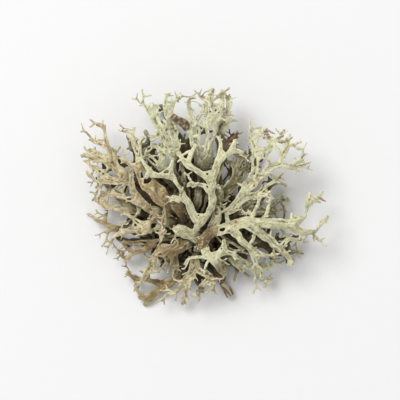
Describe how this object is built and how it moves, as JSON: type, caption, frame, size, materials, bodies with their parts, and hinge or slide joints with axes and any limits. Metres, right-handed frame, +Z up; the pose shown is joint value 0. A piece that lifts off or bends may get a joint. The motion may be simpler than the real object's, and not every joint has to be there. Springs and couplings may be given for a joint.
{
  "type": "lichen on a twig",
  "caption": "Dry oakmoss lichen clump: flat, forking grey-green and tan fronds spreading all round from a crust on a short broken twig; lies on its twig and lowest tips",
  "frame": {"origin": "middle of the clump's box in plan, on the surface it lies on", "axes": "+Z up out of the clump, +X to the right-hand frond across the widest spread, +Y to the top frond"},
  "size_m": [0.0744, 0.0664, 0.0237],
  "materials": {
    "pale_lobe": "matt, pale grey-green, dry leathery lobe with paler margins",
    "grey_green_lobe": "matt, grey-green, dry leathery lobe",
    "olive_lobe": "matt, darker olive lobe low in the clump",
    "tan_lobe": "matt, weathered tan and pinkish lobe",
    "brown_lobe": "matt, dry brown lobe",
    "bark": "rough dark bark",
    "crust": "rough, matt crust",
    "dead_leaf": "dry orange-brown leaf"
  },
  "bodies": {
    "root": {"crown_frond": "pale_lobe", "right_frond": "pale_lobe", "upper_right_frond": "pale_lobe", "top_right_frond": "pale_lobe", "web_frond": "pale_lobe", "top_frond": "grey_green_lobe", "top_left_frond": "grey_green_lobe", "middle_left_frond": "grey_green_lobe", "lower_right_frond": "grey_green_lobe", "window_frond": "tan_lobe", "rosy_frond": "tan_lobe", "upper_left_frond": "tan_lobe", "left_frond": "tan_lobe", "lower_left_frond": "tan_lobe", "hooked_frond": "tan_lobe", "frilled_bottom_frond": "tan_lobe", "wispy_left_frond": "brown_lobe", "tangled_left_frond": "brown_lobe", "antler_frond": "brown_lobe", "saddle_frond": "brown_lobe", "dark_inner_frond": "brown_lobe", "under_right_frond": "olive_lobe", "low_right_frond": "olive_lobe", "inner_right_frond": "olive_lobe", "inner_top_frond": "olive_lobe", "inner_left_frond": "olive_lobe", "twig": "bark", "bark_flake": "bark", "holdfast": "crust", "leaf_scrap": "dead_leaf"}
  },
  "joints": []
}
